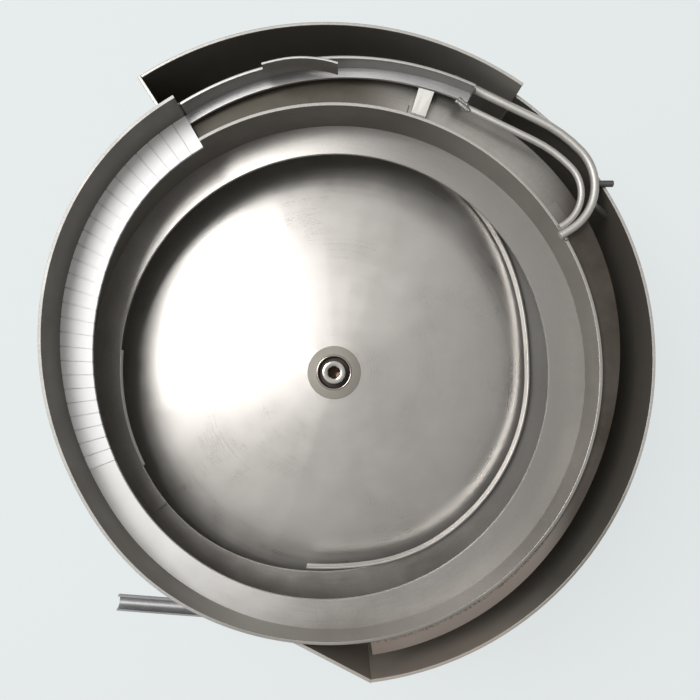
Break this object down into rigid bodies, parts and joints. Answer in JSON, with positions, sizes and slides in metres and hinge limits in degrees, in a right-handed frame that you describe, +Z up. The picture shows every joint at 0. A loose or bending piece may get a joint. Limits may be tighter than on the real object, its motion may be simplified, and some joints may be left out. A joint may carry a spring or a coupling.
{
  "type": "vibratory bowl feeder",
  "caption": "Vibratory bowl feeder: welded steel bowl with a climbing helical track, selector, two-rod hanging rail and catch pans on an electromagnetic leaf-spring drive",
  "frame": {"origin": "on the bowl's axis, on the plane that the rubber feet stand on", "axes": "+Z up along the bowl's axis; +X to the side pan; +Y to the selector and guard; parts travel clockwise seen from above"},
  "size_m": [0.3636, 0.3923, 0.279],
  "materials": {
    "floor_sheet": "satin brushed stainless",
    "wall_sheet": "satin stainless, brown-grey inside, bright rim",
    "track_sheet": "brushed stainless worn by parts",
    "bright_track": "bright brushed stainless, cut lines across",
    "bright_sheet": "bright stainless",
    "ledge_sheet": "brushed stainless",
    "pan_sheet": "olive-grey stainless, bright rim",
    "rod_steel": "polished rod",
    "chute_sheet": "brushed",
    "washer_steel": "turned",
    "bolt_steel": "bright zinc",
    "machined_steel": "machined",
    "painted_casting": "semi-gloss grey paint",
    "laminated_steel": "stacked laminations",
    "black_screws": "black oxide",
    "spring_steel": "blued spring steel",
    "coil_winding": "varnished winding and tape",
    "rubber": "matt black",
    "zinc_steel": "zinc plated",
    "gland_plastic": "grained nylon"
  },
  "bodies": {
    "base": {"base_casting": "painted_casting", "leaf_springs": "spring_steel", "lower_spacers": "machined_steel", "lower_clamp_plates": "machined_steel", "lower_spring_bolts": "black_screws", "magnet_core": "laminated_steel", "magnet_coil": "coil_winding", "magnet_plinth": "machined_steel", "plinth_screws": "black_screws", "rubber_feet": "rubber", "foot_bolts": "zinc_steel", "cable_gland": "gland_plastic"},
    "bowl": {"bowl_floor": "floor_sheet", "bowl_shell": "wall_sheet", "window_panel": "wall_sheet", "spiral_wall": "wall_sheet", "under_band": "wall_sheet", "lower_track": "track_sheet", "track_lip": "bright_sheet", "left_track_lip": "bright_sheet", "lap_plate": "track_sheet", "upper_track": "track_sheet", "segment_track": "bright_track", "return_ledge": "ledge_sheet", "ledge_patch": "ledge_sheet", "bridge_plate": "bright_sheet", "selector_track": "bright_sheet", "selector_wall": "bright_sheet", "wiper_blade": "bright_sheet", "rail_outer_rod": "rod_steel", "rail_inner_rod": "rod_steel", "rail_stud": "rod_steel", "rail_strut": "rod_steel", "guard_wall": "pan_sheet", "guard_end": "pan_sheet", "guard_floor": "pan_sheet", "pan_wall": "pan_sheet", "pan_floor": "pan_sheet", "deflector": "pan_sheet", "discharge_chute": "chute_sheet", "chute_bracket": "pan_sheet", "cone_washer": "washer_steel", "centre_bolt": "bolt_steel", "centre_hub": "machined_steel", "bowl_seat": "machined_steel", "top_frame": "painted_casting", "armature": "laminated_steel", "armature_screws": "black_screws", "upper_clamp_plates": "machined_steel", "upper_spacers": "machined_steel", "upper_spring_bolts": "black_screws"}
  },
  "joints": [
    {"name": "bowl_twist", "type": "hinge", "parent": "base", "child": "bowl", "pos_m": [0, 0, 0.1], "axis": [0, 0, 1], "range_deg": [-0.5, 0.5], "stiffness_Nm_per_rad": 8000, "deforming": ["leaf_springs"]}
  ]
}
